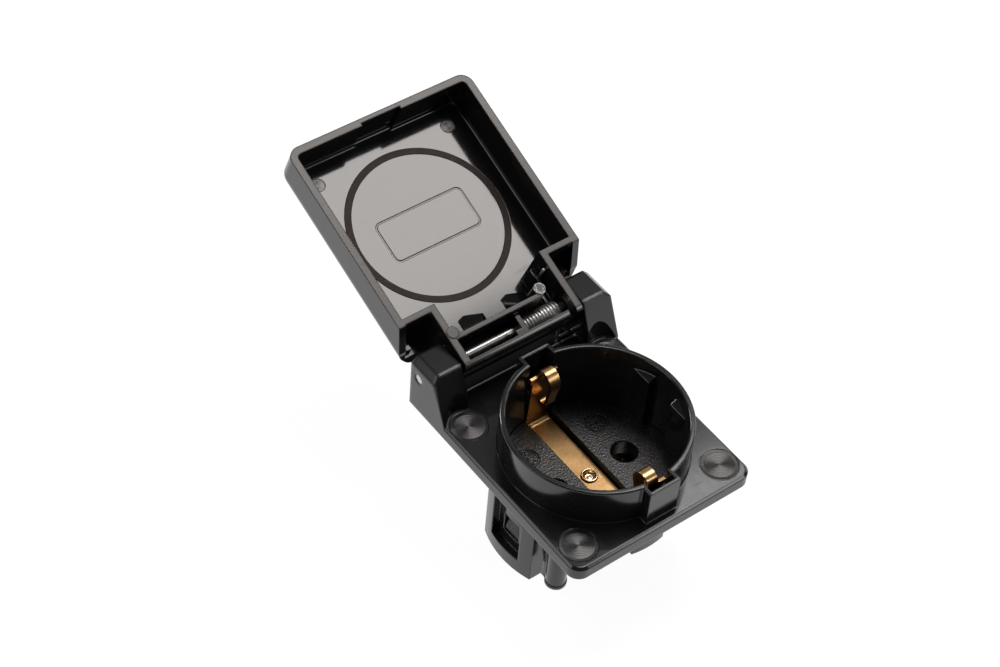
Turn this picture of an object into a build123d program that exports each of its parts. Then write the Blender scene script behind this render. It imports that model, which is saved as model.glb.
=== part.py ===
from build123d import *
import math
import os

os.makedirs("parts", exist_ok=True)

# Flange plate, lying on its back (mounting) face, z up, hinge at +Y
half_width = 24.0
front_reach = 24.8
back_reach = 34.1
plate_thick = 3.3
plate_corner = 3.0
edge_break = 0.6

# Plug recess: collar, earth pockets and side guides
bore_radius = 19.5
collar_wall = 1.3
rim_z = 12.8
rim_break = 0.25
recess_depth = 18.1
pocket_half = 3.2
pocket_reach = 21.8
pocket_wall = 0.9
guide_flat = 17.3
guide_top = 8.8
guide_slope = 2.0
channel_half = 3.6

# Corner fixing pads on the square standard pitch
fixing_pitch = 38.2
pad_radius = 4.2
pad_depth = 0.12

# Rear skirt, snap legs and studs
skirt_depth = 8.3
tab_half = 4.3
tab_depth = 9.8
tab_bar = 1.0
tab_skin = 0.6
leg_radius = 22.9
leg_half = 8.05
leg_depth = 20.0
leg_break = 0.4
window_half = 4.7
window_low = 15.8
window_high = 2.0
window_sink = 1.8
catch_half = 2.4
catch_low = 12.9
catch_high = 7.8
stud_x = 18.6
stud_y = 13.2
stud_radius = 2.3
stud_depth = 16.3
stud_flange = 0.15
stud_flange_high = 0.9

# Hinge
pin_y = 31.3
pin_z = 9.9
pin_radius = 1.2
running_gap = 0.06
post_width = 7.6
post_top = 14.5
post_foot = 21.6
post_brow = 26.5
post_chamfer = 1.65
scallop_radius = 4.9
notch_front = 27.6
notch_floor = 1.6
pin_sink = 0.15
blind_wall = 1.4

# Lid, drawn in its own frame on the pin axis; open angle measured from closed
lid_open = 159.0
lid_overhang = 0.35
lid_reach = 57.1
lid_wall = 1.8
lid_panel = 1.6
lid_rim_gap = 0.25
lid_floor_gap = 0.35
lid_corner = 3.0
lid_edge = 4.3
lid_root = 0.6
cross_wall_far = 11.8
cross_wall_near = 10.4
rail_gap = 0.6
rail_wall = 1.65
rib_far = 3.5
rib_near = 2.4
rib_end = 9.2
boss_reach = 4.2
boss_radius = 1.4
boss_proud = 0.1
trough_back = 2.9
barrel_back = 4.2
barrel_radius = 7.1
sweep_gap = 0.35
slope_gap = 0.55
divider_left = 1.7
divider_right = 2.9
divider_drop = 2.6
seat_left = 0.0
seat_front = 1.35
slot_room = 1.85
thumb_half = 5.2
thumb_depth = 0.7
label_long = 23.4
label_short = 10.5
label_corner = 1.6
label_line = 0.4
label_depth = 0.15
ejector_x = 17.6
ejector_reach = 50.4
ejector_radius = 1.6
ejector_depth = 0.12
sink_left = -7.1
sink_pitch = 11.7
sink_long = 6.2
sink_reach = 8.9
sink_side = 8.2
sink_end = 7.4
sink_peak = 1.8
sink_depth = 1.2
sink_slope = 14.0
nub_x = 21.3
nub_width = 1.2
nub_near = 7.1
nub_far = 9.3
nub_high = 1.5
hook_near = 5.7
hook_knee = 8.4
hook_far = 10.0
hook_gap = 0.45
hook_foot = 0.5
hook_head = 1.0
hook_wall = 1.1
hook_high = 5.6

# Sealing ring let into the lid
seal_radius = 19.15
seal_width = 1.5
seal_sink = 0.6
seal_proud = 0.1

# Torsion spring
wire = 0.75
coil_mean = 1.75
coil_turns = 11
coil_sides = 9
coil_gap = 0.3
coil_end_gap = 0.75
foot_gap = 0.5
leg_gap = 0.1
leg_reach = 8.1
leg_tip = 4.6
leg_bend = 0.4
wire_bead = 0.06
wire_sides = 6

# Contact insert
insert_gap = 0.1
insert_low = 16.0
body_front = 13.0
tower_low = 25.0
tower_x = 14.9
tower_y = 6.4
pole_pitch = 19.0
pole_hole = 6.0
hole_break = 0.2
mark_y = 10.0
mark_radius = 2.8
mark_depth = 0.3
groove_half = 3.4
floor_plate = 4.4
chamber_x = 4.4
chamber_y = 3.4
well_half = 3.8
well_front = 13.6
well_top = 11.5
nose_proud = 1.2
nose_half = 2.1
nose_low = 12.6
nose_high = 8.2

# Earth strip and its spring clips
strip_half = 3.0
strip_sink = 2.0
strip_thick = 0.7
strip_bend = 1.9
leaf_foot = 19.3
leaf_head_y = 18.4
leaf_head_z = 8.3
tee_half = 3.6
tee_high = 1.4
crown_out = 3.0
crown_high = 2.85
bow_out = 3.9
bow_high = 1.3
tail_out = 2.9
tail_low = 5.8
tongue_root = 1.4
tongue_tip = 1.2
rivet_head = 2.1
rivet_shank = 1.5
rivet_bore = 1.1
rivet_high = 0.6
rivet_foot = 2.1

# Pole contacts, bands and terminals
sheet = 0.7
deck_thick = 1.2
pin_window = 3.05
jaw_half = 2.4
jaw_root = 3.3
jaw_touch = 2.65
jaw_mouth = 3.2
jaw_knee = 14.0
jaw_mid = 19.0
jaw_low = 22.5
tail_half = 3.2
tail_end = 12.6
screw_y = 9.6
shank_radius = 1.6
shank_room = 0.2
head_radius = 2.6
head_high = 2.1
slot_wide = 0.7
slot_deep = 0.9
clamp_side = 6.0
clamp_thick = 1.0
band_thick = 0.4
band_low = 19.6
band_high = 17.6
band_x = 3.18
band_seam = 1.2
earth_deck = 12.0
earth_front = 2.8
earth_back = 14.4
earth_half = 3.0
earth_room = 0.4
earth_screw_y = 10.4
cover_thick = 1.4
cover_screw_x = 9.5
cover_screw_y = 4.9
cover_screw_radius = 1.1
cover_screw_head = 1.9
cover_screw_long = 6.0
cover_screw_high = 1.1

# Values that follow from the sizes above
collar_radius = bore_radius + collar_wall
floor_z = rim_z - recess_depth
pad_at = fixing_pitch / 2
pole_x = pole_pitch / 2
plate_mid = (back_reach - front_reach) / 2
plate_long = back_reach + front_reach
lid_rim = plate_thick + lid_rim_gap - pin_z
lid_floor = rim_z + lid_floor_gap - pin_z
lid_out = lid_floor + lid_panel
insert_radius = bore_radius - insert_gap
post_inner = half_width - post_width
lid_half = half_width + lid_overhang
rail_outer = post_inner - rail_gap
rail_inner = rail_outer - rail_wall
slot_left = rail_inner - slot_room
coil_left = divider_right + coil_gap
coil_right = rail_inner - coil_end_gap
foot_end = post_inner - foot_gap
leg_x = rail_inner - leg_gap - wire / 2
hook_right = leg_x - wire / 2 - hook_gap
strip_top = floor_z - strip_sink
strip_mid = strip_top - strip_thick / 2
groove_floor = strip_top - strip_thick
swing = math.radians(lid_open)
lid_y_dir = (0, math.cos(swing), -math.sin(swing))
lid_normal = (0, math.sin(swing), math.cos(swing))
lid_plane = Plane(origin=(0, pin_y, pin_z), x_dir=(1, 0, 0), z_dir=lid_normal)


def lid_side(x):
    """Plane across the lid at x: first axis towards the hinge back, second outwards."""
    return Plane(origin=(x, pin_y, pin_z), x_dir=lid_y_dir, z_dir=(1, 0, 0))


# Side guides of the plug recess, with sloped lead-in tops and a key channel
with BuildPart() as guide_ribs:
    with BuildSketch(Plane.XZ):
        with BuildLine():
            Polyline(
                (guide_flat, floor_z),
                (guide_flat, guide_top),
                (collar_radius, guide_top + guide_slope),
                (collar_radius, floor_z),
                close=True,
            )
        make_face()
    extrude(amount=bore_radius, both=True)
    with BuildSketch(Plane.XY.offset(floor_z)):
        Circle(bore_radius + collar_wall / 2)
    extrude(amount=recess_depth, mode=Mode.INTERSECT)
    with BuildSketch(Plane.XY.offset(floor_z)):
        with Locations((bore_radius, 0)):
            Rectangle(bore_radius, 2 * channel_half)
    extrude(amount=recess_depth, mode=Mode.SUBTRACT)
    mirror(about=Plane.YZ)

# Sunk window and catch hole of the snap legs
with BuildPart() as leg_windows:
    with BuildSketch(Plane.YZ):
        with Locations((0, -(window_low + window_high) / 2)):
            Rectangle(2 * window_half, window_low - window_high)
    extrude(amount=half_width, both=True)
    with BuildSketch(Plane.XY):
        Circle(leg_radius - window_sink)
    extrude(amount=-leg_depth, mode=Mode.SUBTRACT)
    with BuildSketch(Plane.YZ):
        with Locations((0, -(catch_low + catch_high) / 2)):
            Rectangle(2 * catch_half, catch_low - catch_high)
    extrude(amount=half_width, both=True)

# The frame: flange, collar, hinge posts, skirt and legs in one moulding
with BuildPart() as flange_frame:
    with BuildSketch() as plate_outline:
        with Locations((0, plate_mid)):
            Rectangle(2 * half_width, plate_long)
        fillet(plate_outline.vertices().group_by(Axis.Y)[0], plate_corner)
    extrude(amount=plate_thick)
    top_edges = flange_frame.faces().sort_by(Axis.Z)[-1].edges().sort_by(Axis.Y)[:-1]
    chamfer(top_edges, edge_break)
    # hinge posts rise from the back corners
    with BuildSketch(Plane.YZ.offset(-half_width)):
        with BuildLine():
            Polyline(
                (post_foot, 0),
                (post_foot, plate_thick),
                (post_brow, post_top),
                (back_reach, post_top),
                (back_reach, 0),
                close=True,
            )
        make_face()
    extrude(amount=post_width)
    outer_edge = flange_frame.edges().filter_by(Axis.Y).group_by(Axis.Z)[-1].sort_by(Axis.X)[0]
    chamfer(outer_edge, post_chamfer)
    with BuildSketch(Plane.YZ.offset(half_width)):
        with BuildLine():
            Polyline(
                (post_foot, 0),
                (post_foot, plate_thick),
                (post_brow, post_top),
                (back_reach, post_top),
                (back_reach, 0),
                close=True,
            )
        make_face()
    extrude(amount=-post_width)
    outer_edge = flange_frame.edges().filter_by(Axis.Y).group_by(Axis.Z)[-1].sort_by(Axis.X)[-1]
    chamfer(outer_edge, post_chamfer)
    # screwdriver room around the corner pads
    with BuildSketch(Plane.XY.offset(plate_thick)):
        with Locations((-pad_at, pad_at), (pad_at, pad_at)):
            Circle(scallop_radius)
    extrude(amount=post_top, mode=Mode.SUBTRACT)
    # room for the lid barrel to swing
    with BuildSketch(Plane.XY.offset(notch_floor)):
        with Locations((0, (notch_front + back_reach) / 2)):
            Rectangle(2 * post_inner, back_reach - notch_front)
    extrude(amount=plate_thick, mode=Mode.SUBTRACT)
    # collar with skirt, and the earth pockets that stand out of it
    with BuildSketch(Plane.XY.offset(-skirt_depth)):
        Circle(collar_radius)
    extrude(amount=skirt_depth + rim_z)
    with BuildSketch():
        Rectangle(2 * (pocket_half + pocket_wall), 2 * (pocket_reach + pocket_wall))
    extrude(amount=rim_z)
    # tabs that close the pockets below, and the snap legs
    with BuildSketch(Plane.XY.offset(-tab_depth)):
        Circle(collar_radius)
        Rectangle(2 * tab_half, 2 * collar_radius, mode=Mode.INTERSECT)
    extrude(amount=tab_depth)
    with BuildSketch(Plane.XY.offset(-leg_depth)):
        Circle(leg_radius)
        Rectangle(2 * leg_radius, 2 * leg_half, mode=Mode.INTERSECT)
        Rectangle(2 * (bore_radius - leg_half), 2 * leg_half, mode=Mode.SUBTRACT)
    extrude(amount=leg_depth)
    # plug bore
    with BuildSketch(Plane.XY.offset(-leg_depth)):
        Circle(bore_radius)
    extrude(amount=leg_depth + rim_z, mode=Mode.SUBTRACT)
    leg_feet = flange_frame.faces().sort_by(Axis.Z)[:2]
    chamfer(leg_feet.edges(), leg_break)
    # earth pockets: through the collar above the flange's back, and behind a skin in the tabs below it
    with BuildSketch():
        Rectangle(2 * pocket_half, 2 * pocket_reach)
    extrude(amount=rim_z, mode=Mode.SUBTRACT)
    with BuildSketch(Plane.XY.offset(tab_bar - tab_depth)):
        Circle(collar_radius - tab_skin)
        Rectangle(2 * pocket_half, 2 * collar_radius, mode=Mode.INTERSECT)
    extrude(amount=tab_depth - tab_bar, mode=Mode.SUBTRACT)
    # ease the rim
    rim_edges = flange_frame.faces().filter_by(Axis.Z).filter_by_position(Axis.Z, rim_z - 0.01, rim_z + 0.01).edges()
    chamfer(rim_edges, rim_break)
    # studs under the front corners
    with BuildSketch():
        with Locations((-stud_x, -stud_y), (stud_x, -stud_y)):
            Circle(stud_radius)
    extrude(amount=-stud_depth)
    with BuildSketch(Plane.XY.offset(-stud_depth)):
        with Locations((-stud_x, -stud_y), (stud_x, -stud_y)):
            Circle(stud_radius + stud_flange)
    extrude(amount=stud_flange_high)
    # shallow corner pads
    with BuildSketch(Plane.XY.offset(plate_thick)):
        with Locations((-pad_at, -pad_at), (pad_at, -pad_at), (-pad_at, pad_at), (pad_at, pad_at)):
            Circle(pad_radius)
    extrude(amount=-pad_depth, mode=Mode.SUBTRACT)
    # pin seat through the left post, blind in the right one
    with BuildSketch(Plane.YZ.offset(-half_width)):
        with Locations((pin_y, pin_z)):
            Circle(pin_radius)
    extrude(amount=2 * half_width - blind_wall, mode=Mode.SUBTRACT)
    add(guide_ribs.part)
    add(leg_windows.part, mode=Mode.SUBTRACT)
flange_frame.part.label = "flange_frame"
export_step(flange_frame.part, "parts/flange_frame.step")

# Hinge pin
with BuildPart() as hinge_pin:
    with BuildSketch(Plane.YZ.offset(-half_width + pin_sink)):
        with Locations((pin_y, pin_z)):
            Circle(pin_radius)
    extrude(amount=2 * half_width - blind_wall - pin_sink)
    chamfer(hinge_pin.edges().filter_by(GeomType.CIRCLE), pin_sink)
hinge_pin.part.label = "hinge_pin"
export_step(hinge_pin.part, "parts/hinge_pin.step")

# Main hollow of the lid with the thumb recess in its front wall, and a root fillet along the outer walls
with BuildPart() as lid_hollow:
    with BuildSketch(lid_plane.offset(lid_rim)) as main_hollow:
        with Locations((0, -(lid_reach - lid_wall + cross_wall_far) / 2)):
            Rectangle(2 * (lid_half - lid_wall), lid_reach - lid_wall - cross_wall_far)
        fillet(main_hollow.vertices().group_by(Axis.Y)[0], lid_corner - lid_wall)
        with Locations((0, -(lid_reach - lid_wall))):
            Rectangle(2 * thumb_half, 2 * thumb_depth)
    extrude(amount=lid_floor - lid_rim)
    hollow_floor = lid_hollow.faces().sort_by(Axis(lid_plane.origin, lid_plane.z_dir))[-1]
    root_edges = hollow_floor.edges().sort_by(Axis(lid_plane.origin, lid_y_dir))[:-1]
    fillet(root_edges, lid_root)

# Sloping sinks behind the cross rib
with BuildPart() as lid_sinks:
    with BuildSketch(lid_plane.offset(lid_floor)):
        for start in (sink_left, sink_left + sink_pitch):
            with BuildLine():
                Polyline(
                    (start, -rib_far),
                    (start, -sink_side),
                    (start + sink_peak, -sink_reach),
                    (start + sink_long, -sink_end),
                    (start + sink_long, -rib_far),
                    close=True,
                )
            make_face()
    extrude(amount=sink_depth)
    sink_lip = lid_plane.offset(lid_floor)
    sink_lip = Plane(origin=sink_lip.from_local_coords((0, -sink_reach, 0)), x_dir=(1, 0, 0), z_dir=sink_lip.z_dir)
    split(bisect_by=sink_lip.rotated((sink_slope, 0, 0)), keep=Keep.BOTTOM)

# Lid: box with a barrel between the posts
with BuildPart() as lid:
    with BuildSketch(lid_plane.offset(lid_rim)) as lid_outline:
        with Locations((0, (barrel_back - lid_reach) / 2)):
            Rectangle(2 * lid_half, lid_reach + barrel_back)
        fillet(lid_outline.vertices().group_by(Axis.Y)[0], lid_corner)
    extrude(amount=lid_out - lid_rim)
    outer_face = lid.faces().sort_by(Axis(lid_plane.origin, lid_plane.z_dir))[-1]
    fillet(outer_face.edges(), lid_edge)
    add(lid_hollow.part, mode=Mode.SUBTRACT)
    # middle hollow up to the cross rib, and the spring trough behind it
    with BuildSketch(lid_plane.offset(lid_rim)):
        with Locations((0, -(cross_wall_far + 1 + rib_far) / 2)):
            Rectangle(2 * rail_inner, cross_wall_far + 1 - rib_far)
        with Locations((0, (trough_back - rib_near) / 2)):
            Rectangle(2 * rail_inner, trough_back + rib_near)
        with Locations(((rib_end + rail_inner) / 2, -(rib_far + rib_near) / 2)):
            Rectangle(rail_inner - rib_end, rib_far - rib_near)
    extrude(amount=lid_floor - lid_rim, mode=Mode.SUBTRACT)
    # pockets that take the hinge posts
    with BuildSketch(lid_plane.offset(lid_rim)):
        with Locations(
            (-(rail_outer + lid_half - lid_wall) / 2, -cross_wall_near / 2),
            ((rail_outer + lid_half - lid_wall) / 2, -cross_wall_near / 2),
        ):
            Rectangle(lid_half - lid_wall - rail_outer, cross_wall_near)
    extrude(amount=lid_floor - lid_rim, mode=Mode.SUBTRACT)
    # ends that clear the posts: a slope beside the post brow and an arc about the pin
    slope_run = (post_brow - post_foot) / (post_top - plate_thick)
    low_reach = pin_y - post_foot + slope_gap + slope_run * (plate_thick - pin_z - lid_rim + 1)
    arc_radius = math.hypot(pin_y - post_brow, post_top - pin_z) + sweep_gap
    for side in (-1, 1):
        with BuildSketch(lid_side(side * rail_outer)):
            with BuildLine():
                Polyline(
                    (-low_reach, lid_rim - 1),
                    (-low_reach + slope_run * (lid_out - lid_rim + 2), lid_out + 1),
                    (lid_reach, lid_out + 1),
                    (lid_reach, lid_rim - 1),
                    close=True,
                )
            make_face()
            Circle(arc_radius)
        extrude(amount=side * lid_half, mode=Mode.SUBTRACT)
    # barrel rounded about the pin so that it clears the plate
    with BuildSketch(lid_side(-lid_half)):
        with Locations((barrel_radius, -barrel_radius)):
            Rectangle(2 * barrel_radius, 2 * barrel_radius)
        Circle(barrel_radius, mode=Mode.SUBTRACT)
    extrude(amount=2 * lid_half, mode=Mode.SUBTRACT)
    # divider beside the spring with its seat on the back wall, and the boss at the free end of the rib
    with BuildSketch(lid_plane.offset(lid_rim + divider_drop)):
        with Locations(((divider_left + divider_right) / 2, (trough_back - rib_near) / 2)):
            Rectangle(divider_right - divider_left, trough_back + rib_near + 0.4)
        with Locations(((seat_left + divider_right) / 2, (trough_back + seat_front) / 2)):
            Rectangle(divider_right - seat_left, trough_back - seat_front + 0.4)
    extrude(amount=lid_floor - lid_rim - divider_drop + 0.2)
    with BuildSketch(lid_plane.offset(lid_rim - boss_proud)):
        with Locations((rib_end, -boss_reach), (-rail_inner, -boss_reach)):
            Circle(boss_radius)
    extrude(amount=lid_floor - lid_rim + boss_proud + 0.2)
    # hook block and stop wall for the spring leg
    with BuildSketch(lid_plane.offset(lid_floor - hook_high)):
        with BuildLine():
            Polyline(
                (hook_right - hook_foot, -hook_near),
                (hook_right, -hook_near),
                (hook_right, -hook_far + hook_wall),
                (rail_inner, -hook_far + hook_wall),
                (rail_inner, -hook_far),
                (hook_right - hook_head, -hook_far),
                (hook_right - hook_head, -hook_knee),
                close=True,
            )
        make_face()
    extrude(amount=hook_high)
    # slot that lets the frame leg of the spring swing through the barrel
    with BuildSketch(lid_plane.offset(lid_rim - 1)):
        with Locations(((slot_left + rail_inner) / 2, barrel_back / 2 + 0.15)):
            Rectangle(rail_inner - slot_left, barrel_back)
    extrude(amount=lid_out - lid_rim + 2, mode=Mode.SUBTRACT)
    # marks in the lid floor: ejectors, two sinks behind the rib, bare label frame
    with BuildSketch(lid_plane.offset(lid_floor)):
        with Locations((-ejector_x, -ejector_reach), (ejector_x, -ejector_reach)):
            Circle(ejector_radius)
    extrude(amount=ejector_depth, mode=Mode.SUBTRACT)
    add(lid_sinks.part, mode=Mode.SUBTRACT)
    with BuildSketch(lid_plane.offset(lid_floor)):
        with Locations((0, -pin_y)):
            RectangleRounded(label_long, label_short, label_corner)
            RectangleRounded(label_long - 2 * label_line, label_short - 2 * label_line,
                             label_corner - label_line, mode=Mode.SUBTRACT)
    extrude(amount=label_depth, mode=Mode.SUBTRACT)
    with BuildSketch(lid_plane.offset(lid_floor)):
        with Locations((0, -pin_y)):
            Circle(seal_radius)
            Circle(seal_radius - seal_width, mode=Mode.SUBTRACT)
    extrude(amount=seal_sink, mode=Mode.SUBTRACT)
    # small bumps on the pocket floors
    with BuildSketch(lid_plane.offset(lid_floor - nub_high)):
        with Locations((-nub_x, -(nub_near + nub_far) / 2), (nub_x, -(nub_near + nub_far) / 2)):
            Rectangle(nub_width, nub_far - nub_near)
    extrude(amount=nub_high + 0.2)
    # running bore for the pin
    with BuildSketch(lid_side(-rail_outer - 1)):
        Circle(pin_radius + running_gap)
    extrude(amount=2 * rail_outer + 2, mode=Mode.SUBTRACT)
lid.part.label = "lid"
export_step(lid.part, "parts/lid.step")

# Soft ring in the lid floor
with BuildPart() as lid_seal:
    with BuildSketch(lid_plane.offset(lid_floor - seal_proud)):
        with Locations((0, -pin_y)):
            Circle(seal_radius)
            Circle(seal_radius - seal_width, mode=Mode.SUBTRACT)
    extrude(amount=seal_sink + seal_proud)
lid_seal.part.label = "lid_seal"
export_step(lid_seal.part, "parts/lid_seal.step")

# Torsion spring: coil on the pin, one leg in the lid and one foot on the plate
coil_long = coil_right - coil_left - wire
turns = coil_turns + (90 + lid_open) / 360
coil_plane = Plane(origin=(coil_left + wire / 2, pin_y, pin_z), x_dir=lid_normal, z_dir=(1, 0, 0))
coil_steps = round(turns * coil_sides)
coil_points = []
for step in range(coil_steps + 1):
    wound = step / coil_steps
    angle = 2 * math.pi * turns * wound
    coil_points.append((coil_mean * math.cos(angle), coil_mean * math.sin(angle), coil_long * wound))
with BuildPart() as lid_spring:
    with BuildLine(coil_plane) as coil_path:
        Polyline(*coil_points)
    with BuildSketch(Plane(origin=coil_path.line @ 0, z_dir=coil_path.line % 0)):
        RegularPolygon(wire / 2, wire_sides)
    sweep(path=coil_path.line, transition=Transition.RIGHT)
    with Locations(coil_path.line @ 0, coil_path.line @ 1):
        Box(wire + wire_bead, wire + wire_bead, wire + wire_bead)
    leg_run = coil_mean + wire + wire_bead
    with BuildLine(lid_plane) as lid_leg_path:
        FilletPolyline(
            (coil_left + wire / 2, 0, coil_mean),
            (coil_left + wire / 2, 0, leg_run),
            (leg_x, 0, leg_run),
            (leg_x, -leg_reach, leg_run),
            (leg_x, -leg_reach, -leg_tip),
            radius=leg_bend,
        )
    with BuildSketch(Plane(origin=lid_leg_path.line @ 0, z_dir=lid_leg_path.line % 0)):
        RegularPolygon(wire / 2, wire_sides)
    sweep(path=lid_leg_path.line)
    foot_z = notch_floor + wire / 2
    with BuildLine() as foot_path:
        FilletPolyline(
            (coil_right - wire / 2, pin_y - coil_mean, pin_z),
            (coil_right - wire / 2, pin_y - coil_mean, foot_z),
            (foot_end, pin_y - coil_mean, foot_z),
            radius=leg_bend,
        )
    with BuildSketch(Plane(origin=foot_path.line @ 0, z_dir=foot_path.line % 0)):
        RegularPolygon(wire / 2, wire_sides)
    sweep(path=foot_path.line)
lid_spring.part.label = "lid_spring"
export_step(lid_spring.part, "parts/lid_spring.step")

# Contact insert that forms the recess floor
with BuildPart() as contact_base:
    with BuildSketch(Plane.XY.offset(-skirt_depth)):
        Circle(insert_radius)
    extrude(amount=skirt_depth + floor_z)
    with BuildSketch(Plane.XY.offset(-insert_low)):
        Circle(insert_radius)
        with Locations((0, (insert_radius - body_front) / 2)):
            Rectangle(2 * insert_radius, insert_radius + body_front, mode=Mode.INTERSECT)
    extrude(amount=insert_low - skirt_depth)
    with BuildSketch(Plane.XY.offset(-tower_low)):
        Rectangle(2 * tower_x, 2 * tower_y)
    extrude(amount=tower_low - insert_low)
    # groove for the earth strip
    with BuildSketch(Plane.XY.offset(floor_z)):
        Rectangle(2 * groove_half, 2 * bore_radius)
    extrude(amount=-strip_sink - strip_thick, mode=Mode.SUBTRACT)
    # bare round sinks in the floor
    with BuildSketch(Plane.XY.offset(floor_z)):
        with Locations((-pole_x, mark_y), (pole_x, mark_y)):
            Circle(mark_radius)
    extrude(amount=-mark_depth, mode=Mode.SUBTRACT)
    # pole holes with an eased edge
    with BuildSketch(Plane.XY.offset(floor_z)):
        with Locations((-pole_x, 0), (pole_x, 0)):
            Circle(pole_hole / 2)
    extrude(amount=-floor_plate, mode=Mode.SUBTRACT)
    with BuildSketch(Plane.XY.offset(floor_z)):
        with Locations((-pole_x, 0), (pole_x, 0)):
            Circle(pole_hole / 2 + hole_break)
    extrude(amount=-hole_break, taper=45, mode=Mode.SUBTRACT)
    # chambers for the pole contacts and wells for their terminals
    with BuildSketch(Plane.XY.offset(-tower_low)):
        with Locations((-pole_x, 0), (pole_x, 0)):
            Rectangle(2 * chamber_x, 2 * chamber_y)
    extrude(amount=tower_low + floor_z - floor_plate, mode=Mode.SUBTRACT)
    with BuildSketch(Plane.XY.offset(-tower_low)):
        with Locations((-pole_x, -well_front / 2), (pole_x, -well_front / 2)):
            Rectangle(2 * well_half, well_front)
    extrude(amount=tower_low - well_top, mode=Mode.SUBTRACT)
    # well for the earth terminal
    with BuildSketch(Plane.XY.offset(-tower_low)):
        with Locations((0, (earth_back - earth_front) / 2)):
            Rectangle(2 * (earth_half + earth_room), earth_back + earth_front + 2 * earth_room)
    extrude(amount=tower_low - earth_deck, mode=Mode.SUBTRACT)
    # rivet and screw holes
    with BuildSketch(Plane.XY.offset(-earth_deck)):
        Circle(rivet_shank)
    extrude(amount=earth_deck + floor_z, mode=Mode.SUBTRACT)
    with BuildSketch(Plane.XY.offset(-earth_deck)):
        with Locations((0, earth_screw_y)):
            Circle(shank_radius + shank_room)
    extrude(amount=earth_deck + groove_floor - sheet, mode=Mode.SUBTRACT)
    with BuildSketch(Plane.XY.offset(-well_top)):
        with Locations((-pole_x, -screw_y), (pole_x, -screw_y)):
            Circle(shank_radius + shank_room)
    extrude(amount=3.6, mode=Mode.SUBTRACT)
    with BuildSketch(Plane.XY.offset(-tower_low)):
        with Locations((-cover_screw_x, cover_screw_y), (cover_screw_x, cover_screw_y)):
            Circle(cover_screw_radius)
    extrude(amount=cover_screw_long, mode=Mode.SUBTRACT)
    # snap noses that sit in the leg windows
    with BuildSketch(Plane.XZ):
        with BuildLine():
            Polyline(
                (insert_radius - 1, -nose_low),
                (bore_radius + nose_proud, -nose_low),
                (bore_radius + nose_proud, -nose_low + 1),
                (insert_radius, -nose_high),
                (insert_radius - 1, -nose_high),
                close=True,
            )
        make_face()
        mirror(about=Plane.YZ)
    extrude(amount=nose_half, both=True)
contact_base.part.label = "contact_base"
export_step(contact_base.part, "parts/contact_base.step")

# Folded tongue of one earth clip
with BuildPart() as tongue:
    with BuildSketch(Plane.YZ):
        with BuildLine():
            crown = ThreePointArc(
                (leaf_head_y, leaf_head_z),
                (leaf_head_y - crown_out / 2, leaf_head_z + crown_high),
                (leaf_head_y - crown_out, leaf_head_z + crown_high * 0.8),
            )
            bow_end = (leaf_head_y - bow_out, leaf_head_z - bow_high)
            brow = TangentArc(crown @ 1, bow_end, tangent=crown % 1)
            sweep_end = (leaf_head_y - tail_out, leaf_head_z - tail_low)
            flank = TangentArc(brow @ 1, sweep_end, tangent=brow % 1)
            TangentArc(flank @ 1, (leaf_head_y - 0.8, leaf_head_z - tail_low - 0.9), tangent=flank % 1)
        trace(line_width=strip_thick)
    extrude(amount=tongue_root, both=True)
    with BuildSketch(Plane.XZ):
        with BuildLine():
            Polyline(
                (tongue_root + 1, leaf_head_z + 1.2),
                (tongue_root, leaf_head_z + 1.2),
                (tongue_tip, leaf_head_z - 1.6),
                (tongue_tip, leaf_head_z - 9),
                (tongue_root + 1, leaf_head_z - 9),
                close=True,
            )
        make_face()
        mirror(about=Plane.YZ)
    extrude(amount=-leaf_head_y - 1, mode=Mode.SUBTRACT)

# Brass earth strip: flat bar, two upright leaves, cross heads and tongues
with BuildPart() as earth_strip:
    with BuildSketch(Plane.YZ):
        with BuildLine():
            flat = Line((-0.1, strip_mid), (leaf_foot - strip_bend, strip_mid))
            bend = TangentArc(flat @ 1, (leaf_foot, strip_mid + strip_bend), tangent=flat % 1)
            Line(bend @ 1, (leaf_head_y, leaf_head_z))
        trace(line_width=strip_thick)
    extrude(amount=strip_half, both=True)
    with BuildSketch(Plane.YZ):
        with BuildLine():
            Line((leaf_head_y + 0.1, leaf_head_z - tee_high / 2), (leaf_head_y, leaf_head_z + tee_high / 2))
        trace(line_width=strip_thick)
    extrude(amount=tee_half, both=True)
    add(tongue.part)
    mirror(about=Plane.XZ)
    with BuildSketch(Plane.XY.offset(groove_floor)):
        Circle(rivet_shank)
    extrude(amount=strip_thick, mode=Mode.SUBTRACT)
earth_strip.part.label = "earth_strip"
export_step(earth_strip.part, "parts/earth_strip.step")

# Hollow rivet through strip, insert and earth terminal
with BuildPart() as earth_rivet:
    with BuildSketch(Plane.XY.offset(strip_top)):
        Circle(rivet_head)
    extrude(amount=rivet_high)
    chamfer(earth_rivet.edges().sort_by(Axis.Z)[-1], rivet_high / 2)
    with BuildSketch(Plane.XY.offset(strip_top)):
        Circle(rivet_shank)
    extrude(amount=-(strip_top + earth_deck + deck_thick))
    with BuildSketch(Plane.XY.offset(-earth_deck - deck_thick)):
        Circle(rivet_foot)
    extrude(amount=-rivet_high)
    with BuildSketch(Plane.XY.offset(-earth_deck - deck_thick - rivet_high)):
        Circle(rivet_bore)
    extrude(amount=earth_deck + deck_thick + 2 * rivet_high + strip_top, mode=Mode.SUBTRACT)
earth_rivet.part.label = "earth_rivet"
export_step(earth_rivet.part, "parts/earth_rivet.step")

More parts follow.
